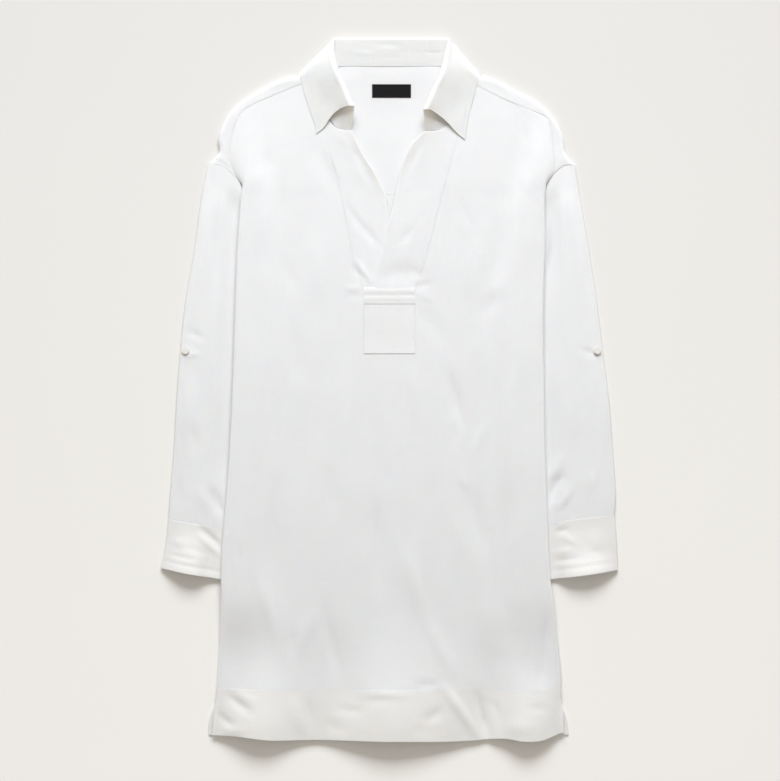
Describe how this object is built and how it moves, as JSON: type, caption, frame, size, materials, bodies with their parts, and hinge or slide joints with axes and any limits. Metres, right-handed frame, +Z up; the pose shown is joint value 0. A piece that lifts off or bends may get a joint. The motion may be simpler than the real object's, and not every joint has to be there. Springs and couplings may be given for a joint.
{
  "type": "popover dress laid flat",
  "caption": "Pull-on linen shirt dress laid flat, with an open collar, a slit neck over a stitched placket box, long cuffed sleeves and a deep hem with side slits.",
  "frame": {"origin": "centre of the laid dress on the surface it lies on", "axes": "+X to the right as the picture shows it (the wearer's left), +Y from the hem to the collar, +Z up from the surface, towards the camera"},
  "size_m": [0.5952, 0.9154, 0.0221],
  "materials": {
    "linen": "single white linen, plain weave with fine slubs, matt",
    "double_linen": "doubled white linen, slightly warmer and denser, matt",
    "label_weave": "near-black woven tape, bare",
    "button_shell": "pearl white, satin gloss"
  },
  "bodies": {
    "root": {"front_panel": "linen", "back_panel": "linen", "yoke": "linen", "sleeve_left": "linen", "sleeve_right": "linen", "placket_band_left": "linen", "placket_band_right": "linen", "placket_box": "double_linen", "placket_bar": "double_linen", "front_hem_band": "double_linen", "back_hem_band": "double_linen", "cuff_left": "double_linen", "cuff_right": "double_linen", "collar": "double_linen", "neck_label": "label_weave", "tab_button_left": "button_shell", "tab_button_right": "button_shell"}
  },
  "joints": []
}
